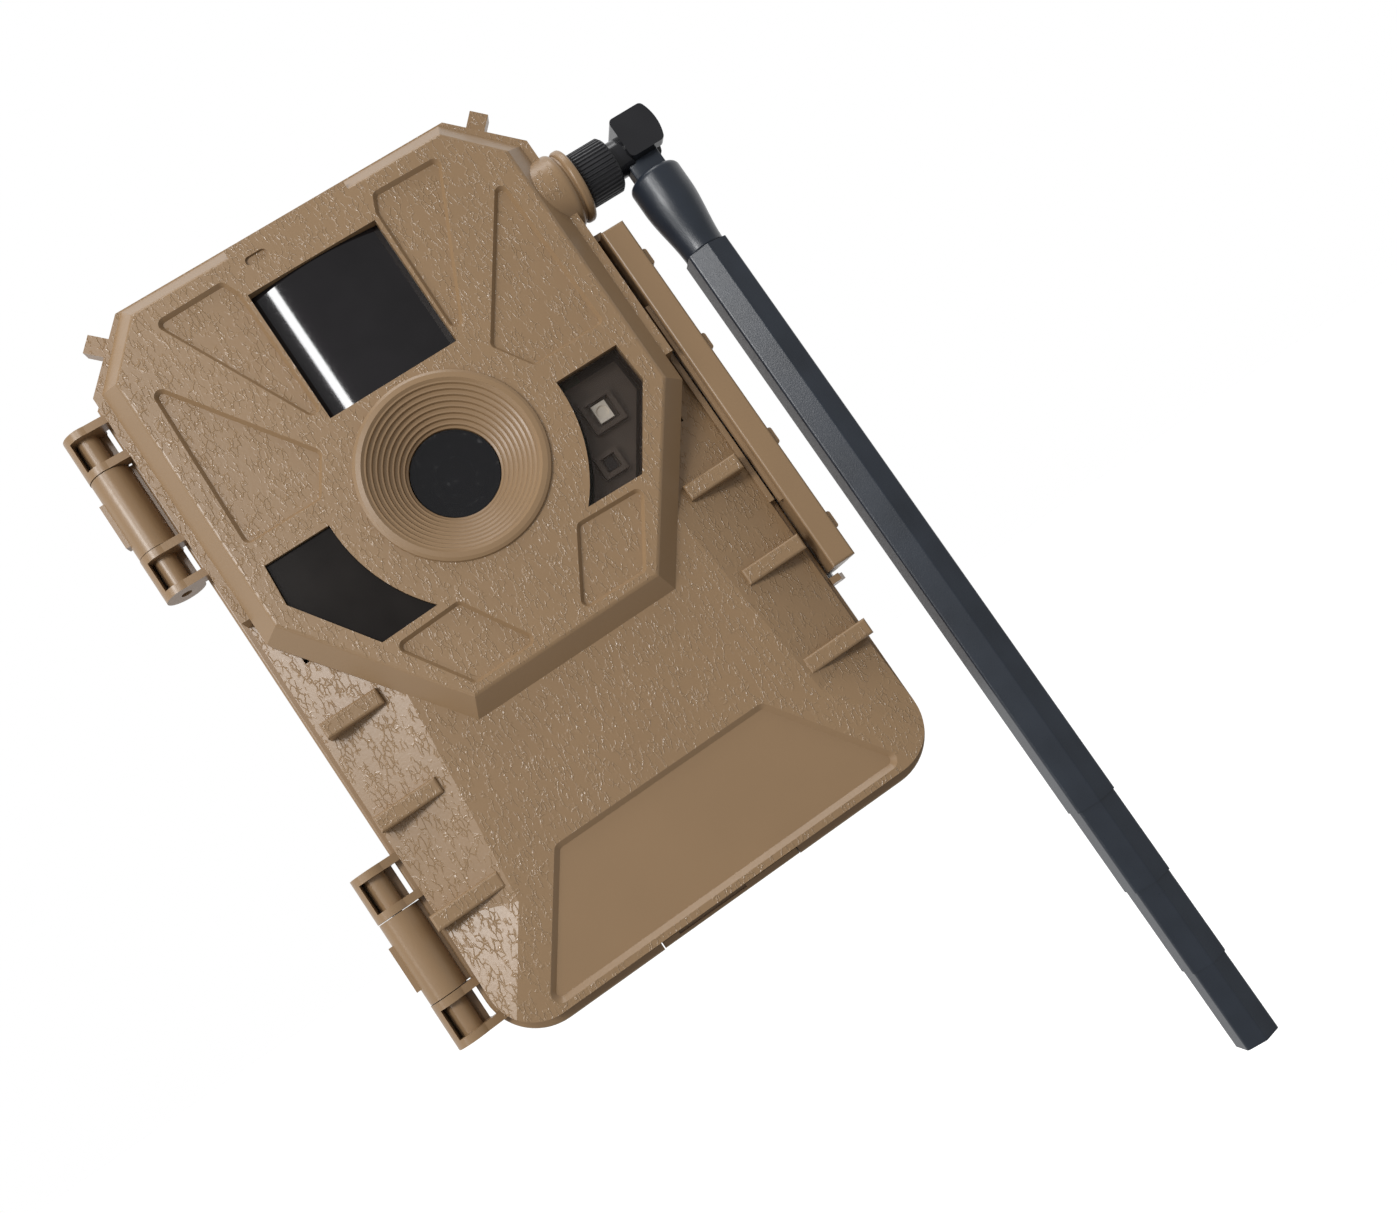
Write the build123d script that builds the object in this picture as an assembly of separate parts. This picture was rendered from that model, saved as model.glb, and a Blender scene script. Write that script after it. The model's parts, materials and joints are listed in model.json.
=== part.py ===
"""Cellular trail camera: strap-on housing, hinged front door, side latch and swivel antenna.

Units are millimetres. X points to the viewer's right, Y points backwards to the tree and Z points up.
The origin is the middle of the tree-rest face on the bracket. Most depths are given as a distance d
behind the bezel's front face, so that a point at depth d has Y = d - DEPTH.
"""
from build123d import *
import math
import os

os.makedirs("parts", exist_ok=True)

# ---------------------------------------------------------------- driving dimensions
DEPTH = 56.0                 # bezel face to tree-rest face
MAIN_D = 4.0                 # main front wall behind the bezel face
PART_D = 10.5                # parting plane between door and rear shell
REAR_D = 49.0                # back wall of the rear shell
WALL = 2.2                   # moulded wall thickness

DOOR_HALF_W = 44.4
DOOR_TOP = 72.0
DOOR_BOTTOM = -70.5
DOOR_CHAMFER = 11.0
DOOR_CORNER = 9.0
RIM = 1.4                    # how far the rear shell stands outside the door
RIM_BOTTOM = 2.1             # the same along the bottom edge

BEZEL_TOP = 68.4
BEZEL_TOP_HALF_W = 31.0
BEZEL_HALF_W = 39.4
BEZEL_SHOULDER = 59.4
BEZEL_KNEE = 9.7
BEZEL_FOOT_HALF_W = 18.6
BEZEL_FOOT = -18.6
BEZEL_SLOPE = 3.4            # how far the sloped wall spreads at the main wall
POCKET = 0.9                 # depth of the decorative pockets
POCKET_BAND = 0.6            # width of the slope round each pocket
PLATE_BAND = 1.0             # the same round the lower plate
FACET_LINE = ((27.7, -9.6), (31.5, -51.1), (40.6, -64.4))   # inner edge of the lower side facets
FACET_SLOPE = 0.317
FACET_REACH = 100.0
FACET_TOP = 14.0

LENS_Z = 16.7
LENS_RIM_R = 17.0
LENS_GLASS_R = 7.9
GROOVES = 8
WINDOW_ARC_R = 23.2          # concave edge of the two lower windows, about the lens axis

IR_HALF_W = 12.8
IR_TOP = 61.0
IR_BOTTOM = 34.9

RIB_Z = (-9.1, -27.3, -46.3)
RIB_TIP_X = (43.0, 44.0, 45.2)

HINGE_X = -50.0
HINGE_R = 3.6
HINGE_TOPS = (59.0, -32.4)
HINGE_BLOCK = 8.8            # length of each door-side block
HINGE_BARREL = 16.2          # length of the shell-side barrel
HINGE_PIN_R = 0.98

LATCH_X = 48.4
LATCH_D = 21.0
LATCH_TOP = 39.6
LATCH_BOTTOM = -34.4
LATCH_PIN_R = 0.9
LATCH_NUBS = (31.6, 12.6, -8.5, -27.0)

SMA_D = 8.2
SMA_Z = 50.8
BOSS_R = 7.4
SMA_R = 3.15
NUT_R = 5.35
NUT_X0 = 48.75
NUT_X1 = 56.0
PIVOT_X = 61.25              # tilt axis of the antenna
PIVOT_PIN_R = 0.9
KNUCKLE_R = 5.25
KNUCKLE_TOP = 6.1            # below the tilt axis
SEAM = 23.5
BLADE_W = 8.2
BLADE_SIDE = 5.6
BLADE_DEPTH = 8.8
BLADE_STEPS = (145.4, 162.4, 179.4, 195.4)
BLADE_STEP = 0.2             # how much each step narrows the blade on every side

COVER_D0 = 24.4              # inner cover plate
COVER_D1 = 26.0
POSTS_Z = (54.0, -14.0, -58.0)
POSTS_X = 36.0
KEYS = {"button_menu": -15.0, "button_down": -5.0, "button_up": 5.0, "button_ok": 15.0}
KEY_Z = 5.0
KEY_FACE_D = 26.6

CELL_R = 7.15
CELL_BODY = 49.0
CELL_NUB = 1.2
CELL_D = 37.0
CELL_PITCH = 15.2
TRAY_HALF_W = 32.0
TRAY_HALF_H = 55.0

COVER_X0 = -15.6             # port cover in the bottom wall
COVER_X1 = 13.0
PORT_X = (COVER_X0 + COVER_X1) / 2
PORT_D = 33.2
COVER_HINGE_D = 39.6
COVER_HINGE_Z = -71.6

BRACKET_HALF_W = 32.0
BRACKET_HALF_H = 42.0
STRAP_HALF_H = 15.0
INSERT_Z = -28.0
INSERT_R = 4.5
TRIPOD_R = 3.175             # 1/4-20 thread, nominal radius


# ---------------------------------------------------------------- helpers
def y_of(d):
    """Y coordinate of a depth d behind the bezel face."""
    return d - DEPTH


def slab(face, d0, d1):
    """Prism of an X-Z outline from depth d0 back to depth d1."""
    return extrude(Plane.XZ.offset(-y_of(d1)) * face, amount=d1 - d0, dir=(0, -1, 0))


def prism_z(face, z0, z1):
    """Prism of an X-Y outline between two heights."""
    return extrude(Pos(0, 0, z0) * face, amount=z1 - z0, dir=(0, 0, 1))


def block(x0, x1, d0, d1, z0, z1):
    """Box between two corners, with depths for Y."""
    centre = Pos((x0 + x1) / 2, y_of((d0 + d1) / 2), (z0 + z1) / 2)
    return centre * Box(x1 - x0, d1 - d0, z1 - z0)


def rod_x(d, z, r, x0, x1):
    """Round bar along X."""
    return Pos((x0 + x1) / 2, y_of(d), z) * Rot(0, 90, 0) * Cylinder(r, x1 - x0)


def rod_y(x, z, r, d0, d1):
    """Round bar along Y."""
    return Pos(x, y_of((d0 + d1) / 2), z) * Rot(90, 0, 0) * Cylinder(r, d1 - d0)


def rod_z(x, d, r, z0, z1):
    """Round bar along Z."""
    return Pos(x, y_of(d), (z0 + z1) / 2) * Cylinder(r, z1 - z0)


def polygon(points):
    return Polygon(*points, align=None)


def mirrored(points):
    return [(-x, z) for x, z in reversed(points)]


def case_outline(grow, grow_bottom=None):
    """Door outline with chamfered shoulders and round feet, grown outwards by a margin."""
    low = grow if grow_bottom is None else grow_bottom
    half = DOOR_HALF_W + grow
    top = DOOR_TOP + grow
    bottom = DOOR_BOTTOM - low
    cut = DOOR_CHAMFER + grow * (2 - math.sqrt(2))
    half_points = [(half, bottom), (half, top - cut), (half - cut, top)]
    face = polygon(half_points + mirrored(half_points))
    feet = face.vertices().sort_by(Axis.Y)[:2]
    return fillet(feet, DOOR_CORNER + grow)


def bezel_outline(grow):
    """Eight-sided bezel plate, grown outwards by a margin."""
    half = [
        (BEZEL_FOOT_HALF_W, BEZEL_FOOT),
        (BEZEL_HALF_W, BEZEL_KNEE),
        (BEZEL_HALF_W, BEZEL_SHOULDER),
        (BEZEL_TOP_HALF_W, BEZEL_TOP),
    ]
    face = polygon(half + mirrored(half))
    if grow == 0:
        return face
    return offset(face, grow, kind=Kind.INTERSECTION)


def lower_window(side):
    """Window with a concave edge round the lens; side is +1 for the right one, -1 for the left."""
    inner_top = (23.0, 19.3)
    inner_foot = (15.3, -2.2)
    middle_angle = math.radians(-30.0)
    middle_x = WINDOW_ARC_R * math.cos(middle_angle)
    middle_z = LENS_Z + WINDOW_ARC_R * math.sin(middle_angle)
    outer = [inner_top, (35.6, 19.3), (36.1, 11.6), (26.4, -2.5), inner_foot]
    line = Polyline(*[(side * x, z) for x, z in outer])
    arc = ThreePointArc(
        (side * inner_foot[0], inner_foot[1]),
        (side * middle_x, middle_z),
        (side * inner_top[0], inner_top[1]),
    )
    return make_face([line, arc])


def spin(profile):
    """Solid of revolution about the lens axis; profile points are (radius, depth)."""
    face = polygon([(r, y_of(d)) for r, d in profile])
    return Pos(0, 0, LENS_Z) * revolve(face, axis=Axis.Y)


def grid(xs, zs):
    return [(x, z) for x in xs for z in zs]


def join(shapes):
    """Separate solids kept together as one compound."""
    return Compound(children=[s for shape in shapes for s in shape.solids()])


# ---------------------------------------------------------------- rear shell and what it carries
def hinge_spans(top):
    """Z ranges of upper block, barrel and lower block of a hinge."""
    a = top - HINGE_BLOCK
    b = a - HINGE_BARREL
    return (a, top), (b, a), (b - HINGE_BLOCK, b)


def rear_shell():
    outer = slab(case_outline(RIM, RIM_BOTTOM), PART_D, REAR_D)
    outer = fillet(outer.faces().sort_by(Axis.Y)[-1].edges(), 3.0)
    outer = fillet(outer.faces().sort_by(Axis.Y)[0].edges(), 0.6)
    cavity = slab(case_outline(RIM - WALL, RIM_BOTTOM - WALL), PART_D - 1, REAR_D - WALL)
    shell = outer - cavity
    for top in HINGE_TOPS:
        _, (z0, z1), _ = hinge_spans(top)
        gap = 0.15
        shell += rod_z(HINGE_X, PART_D, HINGE_R, z0 + gap, z1 - gap)
        shell += block(HINGE_X, -45.4, PART_D + 0.3, PART_D + HINGE_R, z0 + gap, z1 - gap)
        shell += block(HINGE_X - 4.2, HINGE_X - 3.0, 9.2, 11.8, z0 + 3.2, z0 + 12.0)
        shell -= rod_z(HINGE_X, PART_D, HINGE_PIN_R + 0.02, z0, z1)
    shell += latch_lugs()
    shell -= rod_z(LATCH_X, LATCH_D, LATCH_PIN_R + 0.02, LATCH_BOTTOM - 4, LATCH_TOP + 4)
    shell -= rod_x(SMA_D, SMA_Z, BOSS_R + 0.5, 42.0, 48.0)
    shell += block(COVER_X0 - 2.2, COVER_X1 + 2.2, 13.5, COVER_HINGE_D + 2.4, -70.8, -68.9)
    shell -= block(COVER_X0 - 0.2, COVER_X1 + 0.2, PART_D - 1, COVER_HINGE_D, -73.0, -71.2)
    shell -= rod_x(COVER_HINGE_D, COVER_HINGE_Z, 1.15, COVER_X0 - 0.2, COVER_X1 + 0.2)
    shell -= block(COVER_X0 - 0.2, COVER_X1 + 0.2, COVER_HINGE_D - 1, COVER_HINGE_D + 1.15, -73.0, COVER_HINGE_Z)
    shell -= rod_x(COVER_HINGE_D, COVER_HINGE_Z, 0.42, COVER_X0 - 2.0, COVER_X1 + 2.0)
    shell -= rod_z(PORT_X, PORT_D, 3.4, -72.0, -68.0)
    shell -= block(-12.2, 2.0, PART_D - 1, 13.0, -71.4, -70.0)
    for x, z in grid((-35.6, 35.6), (-50.0, 50.0)):
        shell += rod_y(x, z, 3.0, 43.2, REAR_D - 1)
        shell -= rod_y(x, z, 1.15, 38.0, 47.6)
    for x, z in grid((-26.0, 26.0), (-34.0, 34.0)):
        shell -= rod_y(x, z, 1.3, 46.0, 50.0)
    shell -= rod_y(0, INSERT_Z, INSERT_R + 0.05, 46.0, 50.0)
    return shell


def latch_lugs():
    """Two plates on the right wall that carry the latch pin."""
    outline = [(45.4, 9.6), (47.4, 9.6), (49.0, 17.0), (50.6, 19.6), (50.6, 22.4), (48.8, 23.4), (45.4, 23.4)]
    face = polygon([(x, y_of(d)) for x, d in outline])
    low = prism_z(face, LATCH_BOTTOM - 2.3, LATCH_BOTTOM - 1.0)
    high = prism_z(face, LATCH_TOP + 0.4, LATCH_TOP + 1.7)
    return low + high


def hinge_pins():
    pins = []
    for top in HINGE_TOPS:
        (_, z1), _, (z0, _) = hinge_spans(top)
        pins.append(rod_z(HINGE_X, PART_D, HINGE_PIN_R, z0 + 1.2, z1 - 1.2))
    return join(pins)


def tree_bracket():
    """Back plate with a strap channel, biting teeth, four screw holes and the tripod insert's seat."""
    body = block(-BRACKET_HALF_W, BRACKET_HALF_W, REAR_D, DEPTH, -BRACKET_HALF_H, BRACKET_HALF_H)
    body = fillet(body.edges().filter_by(Axis.Y), 5.0)
    body -= block(-40, 40, REAR_D - 1, REAR_D + 4.4, -STRAP_HALF_H, STRAP_HALF_H)
    notch = polygon([(0.4, -1.5), (0.4, 1.5), (-2.0, 0)])
    tooth_gap = extrude(Plane.YZ * notch, amount=80, dir=(1, 0, 0))
    for side in (-1, 1):
        for i in range(6):
            z = side * (STRAP_HALF_H + 4.0 + i * 4.0)
            body -= Pos(-40, y_of(DEPTH), z) * tooth_gap
    body += rod_y(0, INSERT_Z, 7.5, REAR_D + 1, DEPTH - 0.4)
    body -= rod_y(0, INSERT_Z, INSERT_R + 0.05, REAR_D - 1, DEPTH + 1)
    for x, z in grid((-26.0, 26.0), (-34.0, 34.0)):
        body -= rod_y(x, z, 1.15, REAR_D - 1, 53.6)
    return body


def tripod_insert():
    body = rod_y(0, INSERT_Z, INSERT_R, 47.4, DEPTH - 0.4)
    return body - rod_y(0, INSERT_Z, TRIPOD_R, 48.4, DEPTH + 1)


def pan_screw(x, z, head_d, tip_d, head_r=2.3, shank_r=1.1):
    """Cross-slotted pan screw along Y: head starts at head_d and the tip reaches tip_d."""
    way = 1 if tip_d > head_d else -1
    seat = head_d + way * 1.3
    head = rod_y(x, z, head_r, min(head_d, seat), max(head_d, seat))
    shank = rod_y(x, z, shank_r, min(seat, tip_d), max(seat, tip_d))
    slot_end = head_d + way * 0.6
    low, high = sorted((head_d - way * 0.2, slot_end))
    cross = block(x - 1.3, x + 1.3, low, high, z - 0.25, z + 0.25)
    cross += block(x - 0.25, x + 0.25, low, high, z - 1.3, z + 1.3)
    return head + shank - cross


def shell_screws():
    """Eight equal screws: four hold the bracket and four hold the battery tray."""
    bracket = [pan_screw(x, z, 45.5, 53.4) for x, z in grid((-26.0, 26.0), (-34.0, 34.0))]
    tray = [pan_screw(x, z, 39.6, 47.5) for x, z in grid((-35.6, 35.6), (-50.0, 50.0))]
    return join(bracket + tray)


def cell_columns():
    return [(i - 1.5) * CELL_PITCH for i in range(4)]


def battery_tray():
    """Moulded tray with eight half-open cell channels and a ledge for the link pins."""
    body = block(-TRAY_HALF_W, TRAY_HALF_W, 33.0, 45.2, -TRAY_HALF_H, TRAY_HALF_H)
    for x in cell_columns():
        for z0, z1 in ((0.8, 54.0), (-54.0, -0.8)):
            body -= rod_z(x, CELL_D, CELL_R + 0.15, z0, z1)
            body -= block(x - CELL_R - 0.15, x + CELL_R + 0.15, 32.0, CELL_D, z0, z1)
    for x, z in grid((-35.6, 35.6), (-50.0, 50.0)):
        side = 1 if x > 0 else -1
        inner, outer = sorted((side * 31.8, side * 38.8))
        body += block(inner, outer, 41.0, 43.0, z - 4, z + 4)
        body -= rod_y(x, z, 1.3, 40.0, 44.0)
    body += block(-13, 13, 35.0, 38.5, TRAY_HALF_H - 0.5, 63.0)
    for x in (-8, 0, 8):
        body -= rod_y(x, 59.0, 0.95, 34.0, 37.0)
    for x, z in grid((-26.0, 26.0), (-34.0, 34.0)):
        body -= rod_y(x, z, 2.6, 44.9, 46.0)
    return body


def cell_spans():
    """Each cell as (x, flat end z, direction of the nub)."""
    spans = []
    for i, x in enumerate(cell_columns()):
        for low, high in ((0.8, 54.0), (-54.0, -0.8)):
            up = 1 if i % 2 == 0 else -1
            flat = low + 0.4 + 2.1 if up > 0 else high - 0.4 - 2.1
            spans.append((x, flat, up))
    return spans


def aa_cells():
    cells = []
    for x, flat, up in cell_spans():
        ends = sorted((flat, flat + up * CELL_BODY))
        body = rod_z(x, CELL_D, CELL_R, ends[0], ends[1])
        body = fillet(body.edges().filter_by(GeomType.CIRCLE), 0.6)
        nub_ends = sorted((flat + up * (CELL_BODY - 0.2), flat + up * (CELL_BODY + CELL_NUB)))
        cells.append(body + rod_z(x, CELL_D, 2.75, nub_ends[0], nub_ends[1]))
    return join(cells)


def cell_springs():
    """Small coil springs that press on the flat end of each cell."""
    path = Helix(pitch=0.75, height=1.5, radius=3.2)
    start = path @ 0
    wire = sweep(Plane(origin=start, z_dir=path % 0) * Circle(0.24), path=path)
    springs = []
    for x, flat, up in cell_spans():
        z = flat - 0.3 - 1.5 if up > 0 else flat + 0.3
        springs.append(Pos(x, y_of(CELL_D), z) * wire)
    return join(springs)


def cell_contacts():
    """Nickel plates at both ends of every channel."""
    plates = []
    for x in cell_columns():
        for z in (0.83, 53.57, -53.97, -1.23):
            plates.append(block(x - 4.5, x + 4.5, 33.5, 41.0, z, z + 0.4))
    return join(plates)


def link_pins():
    """Spring probes that carry battery power to the door's pads when the case is closed."""
    probes = []
    for x in (-8, 0, 8):
        tip = rod_y(x, 59.0, 0.6, 26.5, 30.0)
        probes.append(tip + rod_y(x, 59.0, 0.9, 29.9, 36.9))
    return join(probes)


def dc_jack():
    """Power socket moulded round its centre pin."""
    body = block(PORT_X - 4.6, PORT_X + 4.6, PORT_D - 5.4, PORT_D + 5.4, -68.8, -57.0)
    body = fillet(body.edges().filter_by(Axis.Z), 0.8)
    body -= rod_z(PORT_X, PORT_D, 3.1, -69.0, -59.0)
    return body + rod_z(PORT_X, PORT_D, 1.0, -67.6, -58.5)


def port_cover():
    """Flap over the power jack, with a plug and a hinge barrel at its rear edge."""
    plate = block(COVER_X0, COVER_X1, 10.9, COVER_HINGE_D, -72.5, -71.35)
    plate = fillet(plate.faces().sort_by(Axis.Z)[0].edges().sort_by(Axis.Y)[:1], 0.4)
    plate += rod_x(COVER_HINGE_D, COVER_HINGE_Z, 0.9, COVER_X0, COVER_X1)
    plate += rod_z(PORT_X, PORT_D, 2.9, -71.5, -69.6)
    plate -= rod_z(PORT_X, PORT_D, 1.3, -71.0, -69.0)
    plate -= block(-12.2, 2.0, 10.0, 11.5, -71.9, -71.0)
    return plate - rod_x(COVER_HINGE_D, COVER_HINGE_Z, 0.46, COVER_X0 - 1, COVER_X1 + 1)


def port_cover_pin():
    return rod_x(COVER_HINGE_D, COVER_HINGE_Z, 0.4, COVER_X0 - 1.9, COVER_X1 + 1.9)


# ---------------------------------------------------------------- latch
def latch_bar():
    """Long snap bar: grip plate, inner hook rib and pin barrel."""
    outline = [(46.15, 5.0), (50.9, 5.0), (50.9, 12.0), (50.4, 21.0), (46.4, 21.0), (46.15, 17.0)]
    face = polygon([(x, y_of(d)) for x, d in outline])
    body = prism_z(face, LATCH_BOTTOM, LATCH_TOP)
    body = fillet(body.faces().sort_by(Axis.Y)[0].edges(), 0.5)
    body += rod_z(LATCH_X, LATCH_D, 2.1, LATCH_BOTTOM, LATCH_TOP)
    body += block(45.42, 46.3, 6.6, 7.8, -19.0, 24.0)
    for z in LATCH_NUBS:
        nub = block(50.6, 51.7, 6.2, 12.0, z - 1.7, z + 1.7)
        body += fillet(nub.edges().filter_by(Axis.Y), 0.5)
    return body - rod_z(LATCH_X, LATCH_D, LATCH_PIN_R + 0.05, LATCH_BOTTOM - 1, LATCH_TOP + 1)


def latch_pin():
    return rod_z(LATCH_X, LATCH_D, LATCH_PIN_R, LATCH_BOTTOM - 2.2, LATCH_TOP + 1.6)


# ---------------------------------------------------------------- front housing
def facet_wedge(start, end):
    """Everything in front of a slope that begins on the line from start down to end."""
    section = polygon([(0, -0.01), (FACET_REACH, -0.01), (FACET_REACH, FACET_REACH * FACET_SLOPE)])
    wedge = prism_z(section, -FACET_REACH, FACET_REACH)
    lean = math.degrees(math.atan2(end[0] - start[0], start[1] - end[1]))
    return Pos(start[0], y_of(MAIN_D), start[1]) * Rot(0, -lean, 0) * wedge


def side_facets():
    """Slopes that lead the lower flanks and corners of the door back to its edge."""
    top, knee, foot = FACET_LINE
    cut = facet_wedge(top, knee) & facet_wedge(knee, foot)
    cut &= block(20, 60, MAIN_D - 1, PART_D + 1, -90, FACET_TOP)
    return cut + mirror(cut, Plane.YZ)


def recess(face, d, depth, band):
    """Cutter for a shallow recess whose walls slope outwards by band up to the surface at depth d."""
    floor = Plane.XZ.offset(-y_of(d + depth)) * face
    mouth = Plane.XZ.offset(-y_of(d - 0.01)) * offset(face, band, kind=Kind.ARC)
    return loft([floor, mouth])


def decorative_pockets():
    """Six shallow pockets in the bezel face."""
    shapes = [
        [(15.5, 64.9), (28.1, 64.7), (13.8, 35.0), (14.2, 61.9)],
        [(34.9, 55.6), (35.7, 24.4), (21.9, 24.4), (17.7, 30.9)],
        [(24.6, -4.6), (17.0, -16.5), (5.1, -16.2), (12.3, -4.1)],
    ]
    cut = None
    for points in shapes:
        for outline in (points, mirrored(points)):
            face = polygon(outline)
            face = fillet(face.vertices(), 0.7)
            piece = recess(face, 0, POCKET, POCKET_BAND)
            cut = piece if cut is None else cut + piece
    return cut


def hinge_frame(z0, z1, arm_d):
    """Door-side hinge block: an outer shell, two thin arms, an open pocket and the pin sleeve."""
    arm = polygon([
        (HINGE_X, y_of(PART_D - HINGE_R)),
        (-43.9, y_of(arm_d)),
        (-43.9, y_of(PART_D - 0.05)),
        (HINGE_X, y_of(PART_D - 0.05)),
    ])
    body = rod_z(HINGE_X, PART_D, HINGE_R + 0.1, z0, z1)
    body += prism_z(arm, z0, z1)
    body -= block(-52.4, -44.3, 5.0, 12.2, z0 + 1.5, z1 - 1.5)
    body += rod_z(HINGE_X, PART_D, 2.0, z0, z1)
    return body


def boss_shape():
    """Round boss for the antenna socket, with a second rim at its mouth."""
    dome = rod_x(SMA_D, SMA_Z, BOSS_R, 40.0, 46.4)
    dome = fillet(dome.edges().filter_by(GeomType.CIRCLE).sort_by(Axis.X)[-1:], 1.4)
    waist = rod_x(SMA_D, SMA_Z, BOSS_R - 0.9, 40.0, 47.2)
    rim = rod_x(SMA_D, SMA_Z, BOSS_R - 0.3, 46.7, 48.4)
    rim = fillet(rim.edges().filter_by(GeomType.CIRCLE), 0.6)
    return dome + waist + rim - rod_x(SMA_D, SMA_Z, SMA_R + 0.05, 38.0, 50.0)


def antenna_boss():
    """The boss outside the door's side wall, kept apart from the door so that its collision stays round."""
    return boss_shape() & block(DOOR_HALF_W, 50, -5, 25, SMA_Z - 12, SMA_Z + 12)


def front_housing():
    door = slab(case_outline(0), MAIN_D, PART_D)
    door -= side_facets()
    base = slab(bezel_outline(BEZEL_SLOPE), MAIN_D - 0.01, PART_D - 0.4)
    foot = Plane.XZ.offset(-y_of(MAIN_D)) * bezel_outline(BEZEL_SLOPE)
    face = Plane.XZ.offset(-y_of(0)) * bezel_outline(0)
    bezel = loft([foot, face])
    bezel = fillet(bezel.faces().sort_by(Axis.Y)[0].edges(), 0.8)
    door += base + bezel
    door += block(-12.0, 12.0, 0.0, 3.0, BEZEL_TOP - 2, BEZEL_TOP + 1.6)
    for side in (-1, 1):
        for z, tip in zip(RIB_Z, RIB_TIP_X):
            rib = block(31.8, tip, MAIN_D, 9.9, z - 1.55, z + 1.55)
            rib = fillet(rib.faces().sort_by(Axis.Y)[0].edges(), 0.5)
            door += rib if side > 0 else mirror(rib, Plane.YZ)
    for top in HINGE_TOPS:
        upper, _, lower = hinge_spans(top)
        arm_d = 7.4 if top > 0 else 9.0
        for z0, z1 in (upper, lower):
            door += hinge_frame(z0, z1, arm_d)
    door += boss_shape() & block(38, DOOR_HALF_W, -5, 25, SMA_Z - 12, SMA_Z + 12)
    peg = Box(3.4, 3.0, 8.0)
    for side in (-1, 1):
        door += Pos(side * 37.9, y_of(8.4), 68.6) * Rot(0, side * 45, 0) * peg
    door += block(44.2, 45.25, 8.6, 9.9, -18.0, 23.0)
    door += slab(case_outline(-2.8), 9.0, 24.3) - slab(case_outline(-4.6), 8.0, 25.0)

    # hollows
    door -= slab(bezel_outline(-WALL), WALL, MAIN_D + 3)
    door -= block(-39.6, 39.6, 6.2, 12.0, 3.0, 58.0)
    door -= block(-30.0, 30.0, 6.2, 12.0, -64.0, 66.0)
    door -= block(-39.6, 39.6, 9.8, 12.0, -60.0, 4.0)
    for x in (-POSTS_X, POSTS_X):
        for z in POSTS_Z:
            door += rod_y(x, z, 2.6, 1.3 if z > 0 else 8.4, 24.3)
            door -= rod_y(x, z, 1.13, 11.0, 25.0)
    for x, z in grid((-27.0, 27.0), (-35.0, 57.0)):
        door += rod_y(x, z, 2.4, 1.3 if z > 0 else 5.0, 18.95)
        door -= rod_y(x, z, 0.95, 11.0, 19.5)

    # openings
    door -= decorative_pockets()
    door -= block(-IR_HALF_W, IR_HALF_W, -1, WALL + 1, IR_BOTTOM, IR_TOP)
    for side in (-1, 1):
        door -= slab(lower_window(side), -1, WALL + 1)
    door -= rod_y(0, LENS_Z, LENS_RIM_R - 0.5, -1, WALL + 6)
    plate = polygon([(-35.5, -68.3), (-21.0, -47.8), (21.0, -47.8), (35.5, -68.3)])
    door -= recess(fillet(plate.vertices(), 0.8), MAIN_D, POCKET, PLATE_BAND)
    mic = Pos(-7.9, BEZEL_TOP - 2.3) * SlotOverall(4.2, 1.7)
    door -= slab(mic, -0.5, 0.5)
    door -= rod_x(SMA_D, SMA_Z, SMA_R + 0.05, 38.0, 50.0)
    door -= rod_x(SMA_D, SMA_Z, 5.2, 38.0, 44.2)
    for top in HINGE_TOPS:
        (_, z1), _, (z0, _) = hinge_spans(top)
        door -= rod_z(HINGE_X, PART_D, HINGE_PIN_R + 0.06, z0 - 1, z1 + 1)
    return door


def door_seal():
    ring = slab(case_outline(-1.1), PART_D + 0.02, 12.6) - slab(case_outline(-2.75), PART_D - 1, 13.0)
    return ring - rod_x(SMA_D, SMA_Z, BOSS_R + 0.1, 38.0, 48.0)


def lens_ring():
    """Light hood with stepped grooves that narrow down to the cover glass."""
    hood = [(LENS_RIM_R, -0.03), (LENS_RIM_R - 0.15, -0.55), (LENS_RIM_R - 0.7, -0.85), (15.4, -0.95), (14.9, -0.5)]
    run = (14.9 - LENS_GLASS_R - 0.2) / GROOVES
    drop = 6.1 / GROOVES
    for i in range(GROOVES):
        r = 14.9 - i * run
        d = -0.5 + i * drop
        hood += [(r - 0.35 * run, d + 0.02), (r - 0.55 * run, d + 0.75 * drop), (r - run, d + drop)]
    hood += [(LENS_GLASS_R + 0.1, 7.2), (LENS_RIM_R - 4.6, 7.2), (LENS_RIM_R - 0.6, 3.0), (LENS_RIM_R - 0.6, -0.03)]
    return spin(hood)


def lens_cover_glass():
    return rod_y(0, LENS_Z, LENS_GLASS_R, 6.0, 7.0)


def lens_barrel():
    tube = [(3.5, 7.4), (5.2, 7.4), (5.2, 14.5), (4.0, 14.5), (4.0, 8.1), (3.5, 7.7)]
    return spin(tube)


def lens_holder():
    body = block(-7.5, 7.5, 10.2, 16.1, LENS_Z - 7.5, LENS_Z + 7.5)
    body = fillet(body.edges().filter_by(Axis.Y), 1.5)
    body -= rod_y(0, LENS_Z, 5.25, 9.0, 17.0)
    return body


def lens_elements():
    """Front and rear lens, each with one domed side."""
    front = rod_y(0, LENS_Z, 3.9, 8.0, 9.8) & (Pos(0, y_of(8.3) + 7.0, LENS_Z) * Sphere(7.0))
    rear = rod_y(0, LENS_Z, 3.9, 12.0, 14.0) & (Pos(0, y_of(13.6) - 7.0, LENS_Z) * Sphere(7.0))
    return join([front, rear])


def ir_cut_filter():
    return rod_y(0, LENS_Z, 3.9, 13.8, 14.3)


def image_sensor():
    return block(-3.4, 3.4, 15.0, 16.15, LENS_Z - 3.0, LENS_Z + 3.0)


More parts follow.
